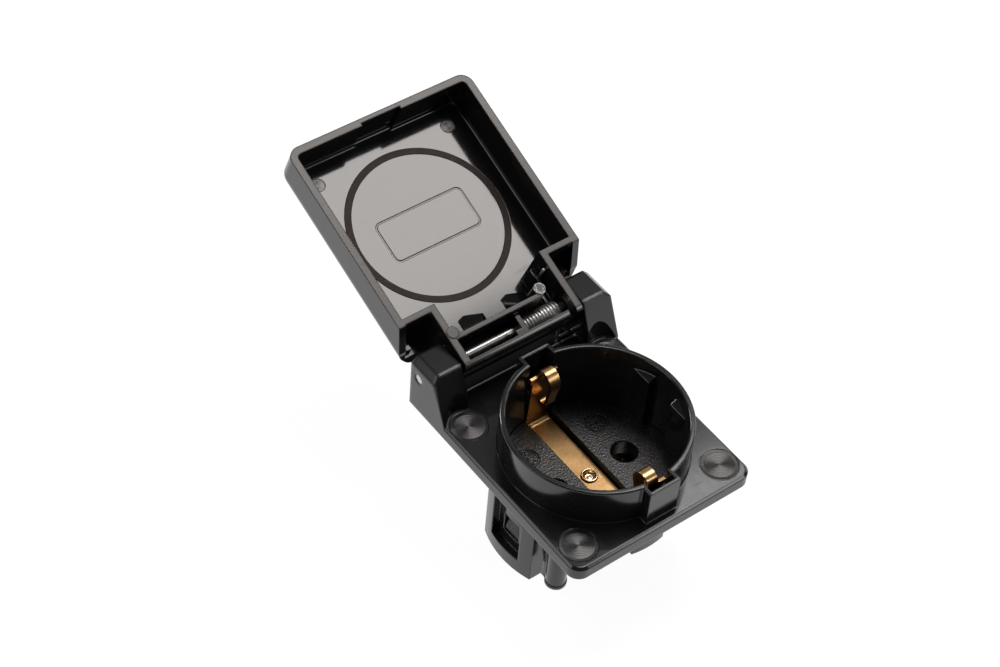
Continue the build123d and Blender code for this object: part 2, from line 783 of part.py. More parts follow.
# Earth terminal bar under the insert
with BuildPart() as earth_terminal:
    with BuildSketch(Plane.XY.offset(-earth_deck)):
        with Locations((0, (earth_back - earth_front) / 2)):
            Rectangle(2 * earth_half, earth_back + earth_front)
        Circle(rivet_shank, mode=Mode.SUBTRACT)
        with Locations((0, earth_screw_y)):
            Circle(shank_radius, mode=Mode.SUBTRACT)
    extrude(amount=-deck_thick)
earth_terminal.part.label = "earth_terminal"
export_step(earth_terminal.part, "parts/earth_terminal.step")

# Pole contacts with their steel bands
for pole, x in (("line", -pole_x), ("neutral", pole_x)):
    with BuildPart() as contact:
        with BuildSketch(Plane.XY.offset(-well_top)):
            with Locations((x, (jaw_half - tail_end) / 2)):
                Rectangle(2 * tail_half, tail_end + jaw_half)
            with Locations((x, 0)):
                Rectangle(2 * jaw_root + sheet, 2 * jaw_half)
                Circle(pin_window, mode=Mode.SUBTRACT)
            with Locations((x, -screw_y)):
                Circle(shank_radius, mode=Mode.SUBTRACT)
        extrude(amount=-deck_thick)
        with BuildSketch(Plane.XZ):
            for side in (-1, 1):
                with BuildLine():
                    Polyline(
                        (x + side * jaw_root, -well_top - deck_thick / 2),
                        (x + side * jaw_root, -jaw_knee),
                        (x + side * jaw_touch, -jaw_mid),
                        (x + side * jaw_mouth, -jaw_low),
                    )
                trace(line_width=sheet)
        extrude(amount=jaw_half, both=True)
    contact.part.label = pole + "_contact"
    export_step(contact.part, "parts/" + pole + "_contact.step")

    with BuildPart() as band:
        with BuildSketch(Plane.XY.offset(-band_low)):
            with Locations((x, 0)):
                Rectangle(2 * (band_x + band_thick), 2 * (jaw_half + band_thick))
                Rectangle(2 * band_x, 2 * jaw_half, mode=Mode.SUBTRACT)
            with Locations((x, jaw_half)):
                Rectangle(band_seam, 2 * band_thick + jaw_half, mode=Mode.SUBTRACT)
        extrude(amount=band_low - band_high)
    band.part.label = pole + "_band"
    export_step(band.part, "parts/" + pole + "_band.step")

# Clamp plates and slotted screws of the three terminals
for pole, x, y, deck in (
    ("line", -pole_x, -screw_y, well_top),
    ("neutral", pole_x, -screw_y, well_top),
    ("earth", 0, earth_screw_y, earth_deck),
):
    clamp_top = -deck - deck_thick
    head_top = clamp_top - clamp_thick
    with BuildPart() as clamp:
        with BuildSketch(Plane.XY.offset(clamp_top)):
            with Locations((x, y)):
                Rectangle(clamp_side, clamp_side)
                Circle(shank_radius, mode=Mode.SUBTRACT)
        extrude(amount=-clamp_thick)
    clamp.part.label = pole + "_clamp"
    export_step(clamp.part, "parts/" + pole + "_clamp.step")

    with BuildPart() as screw:
        with BuildSketch(Plane.XY.offset(head_top)):
            with Locations((x, y)):
                Circle(head_radius)
        extrude(amount=-head_high)
        with BuildSketch(Plane.XY.offset(head_top)):
            with Locations((x, y)):
                Circle(shank_radius)
        extrude(amount=clamp_thick + deck_thick + 3)
        with BuildSketch(Plane.XY.offset(head_top - head_high)):
            with Locations((x, y)):
                Rectangle(2 * head_radius, slot_wide)
        extrude(amount=slot_deep, mode=Mode.SUBTRACT)
    screw.part.label = pole + "_screw"
    export_step(screw.part, "parts/" + pole + "_screw.step")

# Rear cover of the contact chambers, with its two screws
with BuildPart() as rear_cover:
    with BuildSketch(Plane.XY.offset(-tower_low)):
        Rectangle(2 * tower_x, 2 * tower_y)
        with Locations((-cover_screw_x, cover_screw_y), (cover_screw_x, cover_screw_y)):
            Circle(cover_screw_radius, mode=Mode.SUBTRACT)
    extrude(amount=-cover_thick)
rear_cover.part.label = "rear_cover"
export_step(rear_cover.part, "parts/rear_cover.step")

for name, x in (("cover_screw_left", -cover_screw_x), ("cover_screw_right", cover_screw_x)):
    with BuildPart() as cover_screw:
        with BuildSketch(Plane.XY.offset(-tower_low - cover_thick)):
            with Locations((x, cover_screw_y)):
                Circle(cover_screw_radius)
        extrude(amount=cover_thick + cover_screw_long - 0.5)
        with BuildSketch(Plane.XY.offset(-tower_low - cover_thick)):
            with Locations((x, cover_screw_y)):
                Circle(cover_screw_head)
        extrude(amount=-cover_screw_high)
        with BuildSketch(Plane.XY.offset(-tower_low - cover_thick - cover_screw_high)):
            with Locations((x, cover_screw_y)):
                Rectangle(2 * cover_screw_head, slot_wide)
        extrude(amount=slot_wide, mode=Mode.SUBTRACT)
    cover_screw.part.label = name
    export_step(cover_screw.part, "parts/" + name + ".step")
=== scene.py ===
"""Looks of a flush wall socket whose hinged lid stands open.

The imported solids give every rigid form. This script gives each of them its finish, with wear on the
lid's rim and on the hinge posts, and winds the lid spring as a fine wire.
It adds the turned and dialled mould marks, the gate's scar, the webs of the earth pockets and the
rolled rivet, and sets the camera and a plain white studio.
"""

import logging
import math
from collections.abc import Sequence
from dataclasses import dataclass
from enum import Enum

import bpy
from mathutils import Matrix, Vector


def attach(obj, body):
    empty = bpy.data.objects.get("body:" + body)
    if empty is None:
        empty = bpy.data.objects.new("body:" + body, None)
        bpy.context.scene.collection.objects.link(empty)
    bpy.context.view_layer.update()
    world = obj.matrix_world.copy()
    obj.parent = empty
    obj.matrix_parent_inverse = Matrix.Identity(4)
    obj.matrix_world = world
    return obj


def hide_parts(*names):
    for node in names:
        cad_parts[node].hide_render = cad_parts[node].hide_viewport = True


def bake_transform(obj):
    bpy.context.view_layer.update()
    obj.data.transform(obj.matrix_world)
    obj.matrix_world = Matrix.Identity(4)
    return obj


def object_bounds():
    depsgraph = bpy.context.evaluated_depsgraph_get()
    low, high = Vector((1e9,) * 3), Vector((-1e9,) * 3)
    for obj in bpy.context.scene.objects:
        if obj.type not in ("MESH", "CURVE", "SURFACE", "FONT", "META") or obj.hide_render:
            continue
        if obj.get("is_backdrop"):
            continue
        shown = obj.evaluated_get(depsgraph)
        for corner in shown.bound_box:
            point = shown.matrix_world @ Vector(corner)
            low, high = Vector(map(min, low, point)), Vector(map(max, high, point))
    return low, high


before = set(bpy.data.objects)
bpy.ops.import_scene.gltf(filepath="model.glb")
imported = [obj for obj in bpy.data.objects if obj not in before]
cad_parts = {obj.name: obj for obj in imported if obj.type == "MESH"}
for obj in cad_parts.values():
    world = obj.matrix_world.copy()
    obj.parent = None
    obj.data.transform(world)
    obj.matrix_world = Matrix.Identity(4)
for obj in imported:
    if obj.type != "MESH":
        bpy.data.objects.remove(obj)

LOG = logging.getLogger("wall_socket")

Point = tuple[float, float, float]
Colour = tuple[float, float, float]
Span = tuple[float, float]
Profile = list[tuple[float, float]]
Shape = tuple[list[Vector], list[tuple[int, ...]]]
Socket = bpy.types.NodeSocket
Value = Socket | float | Sequence[float]

MM = 0.001
FULL_TURN = 2 * math.pi
WHOLE: Span = (0.0, 1.0)
EVEN: Point = (1.0, 1.0, 1.0)
WHITE: Colour = (1.0, 1.0, 1.0)
WARM_WHITE: Colour = (1.0, 0.955, 0.925)

# The most of a straight run that one bend of a path may take up.
BEND_SHARE = 0.49
# Rings at a wire's end: the push along the wire and the ring's size, as shares of the wire's radius.
WIRE_END: tuple[Span, ...] = ((0.0, 1.0), (0.12, 0.92), (0.12, 0.7))


class Grain(Enum):
    """Surface grain of a moulded piece."""

    POLISHED = (2600.0, 0.0000008)
    SATIN = (4200.0, 0.0000012)
    SPARKED = (2200.0, 0.00006)

    def __init__(self, scale: float, depth: float) -> None:
        """Names the two numbers of a grain.

        Args:
            scale: features per metre.
            depth: depth in metres.
        """
        self.scale = scale
        self.depth = depth


class Draw(Enum):
    """Run of a metal's fine lines, as factors on a noise's three axes."""

    NONE = EVEN
    ALONG_STRIP = (1.0, 0.06, 0.06)
    ALONG_PIN = (0.05, 1.0, 1.0)


@dataclass(frozen=True)
class Pattern:
    """A noise in object space: features per metre, octaves and factors on the three axes."""

    scale: float
    detail: float
    stretch: Point = EVEN


@dataclass(frozen=True)
class LidPlace:
    """The open lid's own frame on the pin axis. Lengths are in millimetres, the angle in degrees."""

    pin_y: float = 31.3
    pin_z: float = 9.9
    lid_open: float = 159.0

    def inward(self) -> Vector:
        """Returns the direction out of the lid's hollow."""
        swing = math.radians(self.lid_open)
        return Vector((0.0, -math.sin(swing), -math.cos(swing)))

    def matrix(self) -> Matrix:
        """Works out the lid's frame.

        Returns:
            The frame: x along the pin, y towards the lid's front, z out of the lid's hollow.
        """
        along, inward = Vector((1.0, 0.0, 0.0)), self.inward()
        turn = Matrix((along, inward.cross(along), inward)).transposed().to_4x4()
        return Matrix.Translation(Vector((0.0, self.pin_y, self.pin_z)) * MM) @ turn

    def at(self, x: float, reach: float, depth: float) -> Matrix:
        """Gives the lid's frame moved to a point of it.

        Args:
            x: place along the pin.
            reach: distance from the pin towards the lid's front.
            depth: height above the pin axis, out of the lid's hollow.

        Returns:
            The moved frame.
        """
        return self.matrix() @ Matrix.Translation(Vector((x, reach, depth)) * MM)

    def point(self, x: float, reach: float, depth: float) -> Vector:
        """Returns a point of the lid's frame in the row's frame."""
        return self.at(x, reach, depth).translation

    def level(self, depth: float) -> float:
        """Returns a depth's distance in metres from the row's origin, out of the lid's hollow."""
        return self.point(0.0, 0.0, depth).dot(self.inward())


OPEN_LID = LidPlace()
# Depths in the lid's frame, in millimetres, between which the wear of its rim sets in.
RIM_WEAR: Span = (6.2, 6.3)


class NodeBoard:
    """Node tree of one material, with short calls that add and join its nodes."""

    edge_samples: int = 8

    def __init__(self, name: str) -> None:
        """Starts an empty material.

        Args:
            name: the material's name.
        """
        self.material = bpy.data.materials.new(name)
        self.material.use_nodes = True
        self.tree = self.material.node_tree
        self.tree.nodes.clear()
        self.place = self.add("ShaderNodeTexCoord").outputs["Object"]

    def add(self, kind: str, **settings: object) -> bpy.types.Node:
        """Adds one node.

        Args:
            kind: Blender's name of the node type.
            settings: attributes of the node.

        Returns:
            The new node.
        """
        node = self.tree.nodes.new(kind)
        for key, value in settings.items():
            setattr(node, key, value)
        return node

    def feed(self, socket: Socket, value: Value) -> None:
        """Joins a socket to another one, or sets its plain value.

        Args:
            socket: the input socket.
            value: an output socket, or a number, vector or colour.
        """
        if isinstance(value, Socket):
            self.tree.links.new(value, socket)
        else:
            socket.default_value = value

    def noise(self, pattern: Pattern) -> Socket:
        """Adds a noise in object space.

        Args:
            pattern: the noise's numbers.

        Returns:
            The noise value from 0 to 1.
        """
        place = self.place
        if pattern.stretch != EVEN:
            mapping = self.add("ShaderNodeMapping")
            self.feed(mapping.inputs["Vector"], place)
            self.feed(mapping.inputs["Scale"], pattern.stretch)
            place = mapping.outputs["Vector"]
        node = self.add("ShaderNodeTexNoise")
        self.feed(node.inputs["Vector"], place)
        self.feed(node.inputs["Scale"], pattern.scale)
        self.feed(node.inputs["Detail"], pattern.detail)
        return node.outputs["Fac"]

    def cells(self, scale: float) -> Socket:
        """Adds round cells in object space.

        Args:
            scale: cells per metre.

        Returns:
            The distance from each cell's middle.
        """
        node = self.add("ShaderNodeTexVoronoi")
        self.feed(node.inputs["Vector"], self.place)
        self.feed(node.inputs["Scale"], scale)
        return node.outputs["Distance"]

    def reach(self, along: Point) -> Socket:
        """Adds the distance from the object's origin along a direction.

        Args:
            along: the direction, one unit long.

        Returns:
            The distance in metres.
        """
        node = self.add("ShaderNodeVectorMath", operation="DOT_PRODUCT")
        first, second = node.inputs[:2]
        self.feed(first, self.place)
        self.feed(second, along)
        return node.outputs["Value"]

    def remap(self, value: Socket, source: Span, target: Span) -> Socket:
        """Maps one range onto another, clamped.

        Args:
            value: the value to map.
            source: the two ends it comes from.
            target: the two ends it goes to.

        Returns:
            The mapped value.
        """
        node = self.add("ShaderNodeMapRange")
        for name, number in zip(("From Min", "From Max", "To Min", "To Max"), (*source, *target)):
            self.feed(node.inputs[name], number)
        self.feed(node.inputs["Value"], value)
        return node.outputs["Result"]

    def combine(self, operation: str, a: Socket, b: Socket | float) -> Socket:
        """Adds a math node.

        Args:
            operation: Blender's name of the operation.
            a: its first value.
            b: its second value.

        Returns:
            The result.
        """
        node = self.add("ShaderNodeMath", operation=operation)
        first, second = node.inputs[:2]
        self.feed(first, a)
        self.feed(second, b)
        return node.outputs["Value"]

    def mix(self, factor: Socket, a: Socket | Colour, b: Colour) -> Socket:
        """Mixes two colours.

        Args:
            factor: share of the second colour.
            a: the first colour, or an output socket that gives it.
            b: the second colour.

        Returns:
            The mixed colour.
        """
        node = self.add("ShaderNodeMix", data_type="RGBA")
        sockets = {socket.identifier: socket for socket in (*node.inputs, *node.outputs)}
        self.feed(sockets["Factor_Float"], factor)
        self.feed(sockets["A_Color"], a if isinstance(a, Socket) else (*a, 1.0))
        self.feed(sockets["B_Color"], (*b, 1.0))
        return sockets["Result_Color"]

    def soft_edge(self, radius: Socket | float) -> Socket:
        """Rounds the shading of sharp edges.

        Args:
            radius: the rounding in metres, or an output socket that gives it.

        Returns:
            The normal.
        """
        node = self.add("ShaderNodeBevel", samples=self.edge_samples)
        self.feed(node.inputs["Radius"], radius)
        return node.outputs["Normal"]

    def bump(self, height: Socket, depth: float, normal: Socket) -> Socket:
        """Adds a bump.

        Args:
            height: the height field from 0 to 1.
            depth: its depth in metres.
            normal: the normal that it starts from.

        Returns:
            The bumped normal.
        """
        node = self.add("ShaderNodeBump")
        self.feed(node.inputs["Strength"], 1.0)
        self.feed(node.inputs["Distance"], depth)
        self.feed(node.inputs["Height"], height)
        self.feed(node.inputs["Normal"], normal)
        return node.outputs["Normal"]

    def shade(self, **inputs: Value) -> bpy.types.Material:
        """Adds the surface shader and the output.

        Args:
            inputs: shader inputs, with spaces written as underscores.

        Returns:
            The finished material.
        """
        shader = self.add("ShaderNodeBsdfPrincipled")
        for key, value in inputs.items():
            self.feed(shader.inputs[key.replace("_", " ")], value)
        return self.close(shader.outputs["BSDF"])

    def close(self, surface: Socket) -> bpy.types.Material:
        """Adds the output.

        Args:
            surface: the shader that it shows.

        Returns:
            The finished material.
        """
        output = self.add("ShaderNodeOutputMaterial")
        self.feed(output.inputs["Surface"], surface)
        return self.material


@dataclass(frozen=True)
class WornZone:
    """The part of a moulding beyond a level, dulled and rounded by handling. Lengths are in metres."""

    along: Point
    levels: Span
    tone: Colour
    dulling: float
    edge: float

    def share(self, board: NodeBoard) -> Socket:
        """Returns the wear's share: none up to the first level, full from the second."""
        return board.remap(board.reach(self.along), self.levels, WHOLE)


@dataclass(frozen=True)
class MouldedPlastic:
    """Black moulded plastic with flow marks, a fine grain and soft edges. Lengths are in metres."""

    name: str
    tone: Colour
    dirt_tone: Colour
    roughness: Span
    grain: Grain
    edge: float
    # Lighter flecks mixed into the colour: on the insert, painted glints of its grain; on the gate's scar,
    # the torn plastic's whitish mottle with painted glints.
    painted_glint_and_mottle: Colour | None = None
    worn: WornZone | None = None
    ior: float = 1.54
    blotches: Pattern = Pattern(95.0, 4.0)
    flow_marks: Pattern = Pattern(420.0, 3.0, (1.0, 0.35, 1.0))
    scuffs: Pattern = Pattern(900.0, 6.0, (0.12, 1.0, 1.0))
    glint_and_mottle_pattern: Pattern = Pattern(2600.0, 1.0)
    grain_detail: float = 2.0
    dirt_span: Span = (0.12, 0.42)
    flow_span: Span = (0.2, 0.8)
    scuff_span: Span = (0.62, 0.74)
    glint_and_mottle_span: Span = (0.52, 0.64)
    scuff_dulling: float = 0.05

    def relief(self, board: NodeBoard) -> Socket:
        """Adds the grain's height field.

        Args:
            board: the material's nodes.

        Returns:
            The height.
        """
        if self.grain is Grain.SPARKED:
            return board.cells(self.grain.scale)
        return board.noise(Pattern(self.grain.scale, self.grain_detail))

    def material(self) -> bpy.types.Material:
        """Builds the material.

        Returns:
            The material.
        """
        board = NodeBoard(self.name)
        flow = board.noise(self.flow_marks)
        dirt = board.combine("MULTIPLY", board.noise(self.blotches), flow)
        colour = board.mix(board.remap(dirt, self.dirt_span, WHOLE), self.tone, self.dirt_tone)
        # Lighter specks where a noise runs high: painted glints, with real mottle on the gate's scar.
        if self.painted_glint_and_mottle is not None:
            glint_and_mottle_share = board.remap(board.noise(self.glint_and_mottle_pattern), self.glint_and_mottle_span, WHOLE)
            colour = board.mix(glint_and_mottle_share, colour, self.painted_glint_and_mottle)
        scuff = board.remap(board.noise(self.scuffs), self.scuff_span, (0.0, self.scuff_dulling))
        rough = board.combine("ADD", board.remap(flow, self.flow_span, self.roughness), scuff)
        edge = self.edge
        if self.worn is not None:
            share = self.worn.share(board)
            dulling = board.remap(share, WHOLE, (0.0, self.worn.dulling))
            colour = board.mix(share, colour, self.worn.tone)
            rough = board.combine("ADD", rough, dulling)
            edge = board.remap(share, WHOLE, (self.edge, self.worn.edge))
        normal = board.bump(self.relief(board), self.grain.depth, board.soft_edge(edge))
        return board.shade(Base_Color=colour, Roughness=rough, Normal=normal, IOR=self.ior)


@dataclass(frozen=True)
class SheetBrass:
    """Stamped brass sheet with rolling streaks and a faint tarnish. Lengths are in metres."""

    name: str
    bright: Colour
    tarnish: Colour
    roughness: Span
    draw: Draw
    edge: float
    streak_scale: float = 2600.0
    streak_detail: float = 4.0
    streak_span: Span = (0.3, 0.7)
    streak_depth: float = 0.0000006
    clouds: Pattern = Pattern(240.0, 4.0)
    cloud_span: Span = (0.36, 0.66)
    spots: Pattern = Pattern(1500.0, 3.0)
    spot_span: Span = (0.3, 0.62)
    spot_share: Span = (0.2, 1.0)

    def material(self) -> bpy.types.Material:
        """Builds the material.

        Returns:
            The material.
        """
        board = NodeBoard(self.name)
        streak = board.noise(Pattern(self.streak_scale, self.streak_detail, self.draw.value))
        cloud = board.remap(board.noise(self.clouds), self.cloud_span, WHOLE)
        spot = board.remap(board.noise(self.spots), self.spot_span, self.spot_share)
        colour = board.mix(board.combine("MULTIPLY", cloud, spot), self.bright, self.tarnish)
        rough = board.remap(streak, self.streak_span, self.roughness)
        normal = board.bump(streak, self.streak_depth, board.soft_edge(self.edge))
        return board.shade(Base_Color=colour, Metallic=1.0, Roughness=rough, Normal=normal)


@dataclass(frozen=True)
class DrawnSteel:
    """Drawn or plated steel with fine lines along the draw. Lengths are in metres."""

    name: str
    bright: Colour
    dull: Colour
    roughness: Span
    draw: Draw
    edge: float
    line_scale: float = 5200.0
    line_detail: float = 3.0
    line_span: Span = (0.3, 0.7)
    line_depth: float = 0.000001
    clouds: Pattern = Pattern(700.0, 4.0)
    cloud_span: Span = (0.35, 0.75)

    def material(self) -> bpy.types.Material:
        """Builds the material.

        Returns:
            The material.
        """
        board = NodeBoard(self.name)
        lines = board.noise(Pattern(self.line_scale, self.line_detail, self.draw.value))
        cloud = board.remap(board.noise(self.clouds), self.cloud_span, WHOLE)
        colour = board.mix(cloud, self.bright, self.dull)
        rough = board.remap(lines, self.line_span, self.roughness)
        normal = board.bump(lines, self.line_depth, board.soft_edge(self.edge))
        return board.shade(Base_Color=colour, Metallic=1.0, Roughness=rough, Normal=normal)


@dataclass(frozen=True)
class SoftRing:
    """Dull elastomer of the sealing ring, with a dusty bloom. Lengths are in metres."""

    name: str
    tone: Colour
    bloom: Colour
    roughness: Span
    edge: float
    ior: float = 1.45
    dust: Pattern = Pattern(1400.0, 5.0)
    bloom_span: Span = (0.4, 0.72)
    dust_span: Span = (0.35, 0.65)
    pores: Pattern = Pattern(7000.0, 2.0)
    pore_depth: float = 0.000008

    def material(self) -> bpy.types.Material:
        """Builds the material.

        Returns:
            The material.
        """
        board = NodeBoard(self.name)
        dust = board.noise(self.dust)
        colour = board.mix(board.remap(dust, self.bloom_span, WHOLE), self.tone, self.bloom)
        rough = board.remap(dust, self.dust_span, self.roughness)
        normal = board.bump(board.noise(self.pores), self.pore_depth, board.soft_edge(self.edge))
        return board.shade(Base_Color=colour, Roughness=rough, Normal=normal, IOR=self.ior)


class Finish(Enum):
    """Finishes of the part, one for each kind of piece."""

    # The hinge posts, at the frame's far end, are rounder and duller than the rest of it.
    FRAME = MouldedPlastic(
        "black_frame",
        tone=(0.0085, 0.0084, 0.0092),
        dirt_tone=(0.0125, 0.0122, 0.0127),
        roughness=(0.11, 0.15),
        grain=Grain.SATIN,
        edge=0.00045,
        worn=WornZone(
            along=(0.0, 1.0, 0.0),
            levels=(0.024, 0.026),
            tone=(0.0105, 0.0103, 0.011),
            dulling=0.08,
            edge=0.0011,
        ),
    )
    # The rim's face lies just above the zone's levels, and the lid's walls and floor lie below them.
    LID = MouldedPlastic(
        "black_lid",
        tone=(0.0085, 0.0084, 0.009),
        dirt_tone=(0.0105, 0.0103, 0.0105),
        roughness=(0.085, 0.105),
        grain=Grain.POLISHED,
        edge=0.0002,
        worn=WornZone(
            along=tuple(OPEN_LID.inward()),
            levels=tuple(OPEN_LID.level(depth) for depth in RIM_WEAR),
            tone=(0.03, 0.025, 0.022),
            dulling=0.28,
            edge=0.0004,
        ),
    )
    TURNED = MouldedPlastic(
        "turned_mark",
        tone=(0.0085, 0.0084, 0.009),
        dirt_tone=(0.0115, 0.0112, 0.0115),
        roughness=(0.2, 0.26),
        grain=Grain.POLISHED,
        edge=0.00003,
    )
    INSERT = MouldedPlastic(
        "grained_insert",
        tone=(0.006, 0.006, 0.0062),
        dirt_tone=(0.010, 0.0097, 0.0096),
        roughness=(0.3, 0.38),
        grain=Grain.SPARKED,
        edge=0.0002,
        # Its lighter flecks are painted glints of the sparked grain.
        painted_glint_and_mottle=(0.042, 0.041, 0.039),
    )
    SCAR = MouldedPlastic(
        "gate_scar",
        tone=(0.09, 0.088, 0.085),
        dirt_tone=(0.2, 0.195, 0.19),
        roughness=(0.42, 0.5),
        grain=Grain.SATIN,
        edge=0.00003,
        # Its lighter flecks are the torn plastic's whitish mottle with painted glints.
        painted_glint_and_mottle=(0.62, 0.6, 0.58),
    )
    RING = SoftRing(
        "soft_ring",
        tone=(0.021, 0.0115, 0.008),
        bloom=(0.03, 0.019, 0.0145),
        roughness=(0.62, 0.74),
        edge=0.00012,
    )
    BRASS = SheetBrass(
        "sheet_brass",
        bright=(0.6, 0.372, 0.165),
        tarnish=(0.4, 0.222, 0.092),
        roughness=(0.285, 0.3),
        draw=Draw.ALONG_STRIP,
        edge=0.00012,
    )
    ROLLED_BRASS = SheetBrass(
        "rolled_brass",
        bright=(0.93, 0.76, 0.53),
        tarnish=(0.62, 0.4, 0.2),
        roughness=(0.24, 0.28),
        draw=Draw.NONE,
        edge=0.00005,
    )
    # Brass of the contacts: tarnished, and darkened far below brass's own colour as painted shade of the
    # deep pin holes that they sit in.
    TARNISH_AND_SHADE_BRASS = SheetBrass(
        "tarnish_and_shade_brass",
        bright=(0.1, 0.062, 0.025),
        tarnish=(0.05, 0.03, 0.013),
        roughness=(0.34, 0.48),
        draw=Draw.ALONG_STRIP,
        edge=0.00012,
    )
    STEEL = DrawnSteel(
        "drawn_steel",
        bright=(0.72, 0.72, 0.71),
        dull=(0.5, 0.49, 0.47),
        roughness=(0.3, 0.4),
        draw=Draw.ALONG_PIN,
        edge=0.00012,
    )
    WIRE = DrawnSteel(
        "spring_wire",
        bright=(0.8, 0.8, 0.79),
        dull=(0.62, 0.61, 0.59),
        roughness=(0.36, 0.44),
        draw=Draw.NONE,
        edge=0.00005,
    )
    ZINC = DrawnSteel(
        "zinc_plate",
        bright=(0.68, 0.69, 0.7),
        dull=(0.45, 0.45, 0.44),
        roughness=(0.3, 0.42),
        draw=Draw.NONE,
        edge=0.00012,
    )


class Workshop:
    """Makes materials and pieces, each material once."""

    made: dict[Finish, bpy.types.Material] = {}

    @classmethod
    def material(cls, finish: Finish) -> bpy.types.Material:
        """Gives a finish's material, built at its first use.

        Args:
            finish: the finish.

        Returns:
            The material.
        """
        if finish not in cls.made:
            cls.made[finish] = finish.value.material()
        return cls.made[finish]

    @classmethod
    def dress(cls, node: str, finish: Finish) -> None:
        """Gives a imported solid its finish.

        Args:
            node: the solid's name.
            finish: the finish that it gets.
        """
        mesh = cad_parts[node].data
        mesh.materials.clear()
        mesh.materials.append(cls.material(finish))
        LOG.info("dressed %s in %s", node, finish.value.name)

    @classmethod
    def piece(
        cls, name: str, shape: Shape, finish: Finish, slot: str, smooth: bool = True
    ) -> bpy.types.Object:
        """Makes a mesh piece in the row's frame.

        Args:
            name: the piece's name.
            shape: its vertices in metres and its faces.
            finish: the finish that it gets.
            slot: the record's material slot; not used.
            smooth: whether its faces are shaded smooth.

        Returns:
            The new object, not yet on a body.
        """
        points, faces = shape
        mesh = bpy.data.meshes.new(name)
        mesh.from_pydata([tuple(point) for point in points], [], faces)
        mesh.polygons.foreach_set("use_smooth", [smooth] * len(mesh.polygons))
        mesh.update()
        made = bpy.data.objects.new(name, mesh)
        bpy.context.scene.collection.objects.link(made)
        made.data.materials.append(cls.material(finish))
        LOG.info("built %s with %d faces", name, len(faces))
        return made


def rounded_path(corners: list[Vector], radius: float, steps: int = 6) -> list[Vector]:
    """Rounds the corners of a path.

    Args:
        corners: the path's corner points.
        radius: the bend radius.
        steps: points along each bend.

    Returns:
        The points of the rounded path.
    """
    path = [corners[0]]
    for before, here, after in zip(corners, corners[1:], corners[2:]):
        one, two = (before - here).normalized(), (after - here).normalized()
        half = one.angle(two) / 2
        room = BEND_SHARE * min((before - here).length, (after - here).length)
        run = min(radius / math.tan(half), room)
        start, end = here + one * run, here + two * run
        for i in range(steps + 1):
            t = i / steps
            path.append(start * (1 - t) ** 2 + here * 2 * t * (1 - t) + end * t * t)
    return path + [corners[-1]]


def tube(rings: list[list[Vector]]) -> Shape:
    """Joins rings of points into a closed skin with flat ends.

    Args:
        rings: rings with the same number of points each.

    Returns:
        The vertices and the faces.
    """
    sides = len(rings[0])
    points = [point for ring in rings for point in ring]
    faces = []
    for row in range(len(rings) - 1):
        low, high = row * sides, (row + 1) * sides
        for k in range(sides):
            n = (k + 1) % sides
            faces.append((low + k, low + n, high + n, high + k))
    last = (len(rings) - 1) * sides
    faces.append(tuple(reversed(range(sides))))
    faces.append(tuple(range(last, last + sides)))
    return points, faces


def wire_along(path: list[Vector], radius: float, sides: int) -> Shape:
    """Sweeps a round wire with eased ends along a path.

    Args:
        path: the wire's centre line.
        radius: the wire's radius.
        sides: points around the wire.

    Returns:
        The vertices and the faces.
    """
    rings = []
    last = len(path) - 1
    turns = [FULL_TURN * k / sides for k in range(sides)]
    side = (path[1] - path[0]).orthogonal().normalized()
    for i, here in enumerate(path):
        along = (path[min(i + 1, last)] - path[max(i - 1, 0)]).normalized()
        side = (side - along * side.dot(along)).normalized()
        up = along.cross(side)
        steps = WIRE_END[:1]
        if i == 0:
            steps = [(-push, share) for push, share in reversed(WIRE_END)]
        elif i == last:
            steps = WIRE_END
        for push, share in steps:
            centre, size = here + along * (push * radius), radius * share
            rings.append([centre + (side * math.cos(t) + up * math.sin(t)) * size for t in turns])
    return tube(rings)


def turned(profile: Profile, place: Matrix, sides: int) -> Shape:
    """Turns a profile about the upright axis of a place, and closes its two ends flat.

    Args:
        profile: pairs of radius and height in millimetres, from the underside to the top.
        place: where the axis stands in the row's frame.
        sides: steps around the axis.

    Returns:
        The vertices and the faces.
    """
    rings = []
    turns = [FULL_TURN * k / sides for k in range(sides)]
    for radius, height in profile:
        ring = [Vector((radius * math.cos(t), radius * math.sin(t), height)) * MM for t in turns]
        rings.append([place @ point for point in ring])
    return tube(rings)


def joined(shapes: list[Shape]) -> Shape:
    """Puts several shapes into one.

    Args:
        shapes: the shapes.

    Returns:
        Their vertices and faces together.
    """
    points, faces = [], []
    for more_points, more_faces in shapes:
        shift = len(points)
        points.extend(more_points)
        faces.extend(tuple(k + shift for k in face) for face in more_faces)
    return points, faces


@dataclass
class TurnedMark:
    """Round mark with fine rings, as a turned mould insert leaves it. Lengths are in millimetres."""

    radius: float
    pitch: float = 0.42
    ridge: float = 0.03
    sink: float = 0.05
    lip: float = 0.05
    middle: float = 0.03
    sides: int = 96

    def shape(self, place: Matrix) -> Shape:
        """Shapes the mark.

        Args:
            place: the mark's middle, with its upright axis out of the surface.

        Returns:
            The vertices and the faces.
        """
        profile = [(self.middle, 0.0)]
        for i in range(1, int(self.radius / self.pitch)):
            profile += [((i - 0.5) * self.pitch, self.ridge), (i * self.pitch, 0.0)]
        profile.append((self.radius - self.lip, self.ridge))
        profile += [(self.radius, -self.sink), (self.middle, -self.sink)]
        return turned(profile[::-1], place, self.sides)


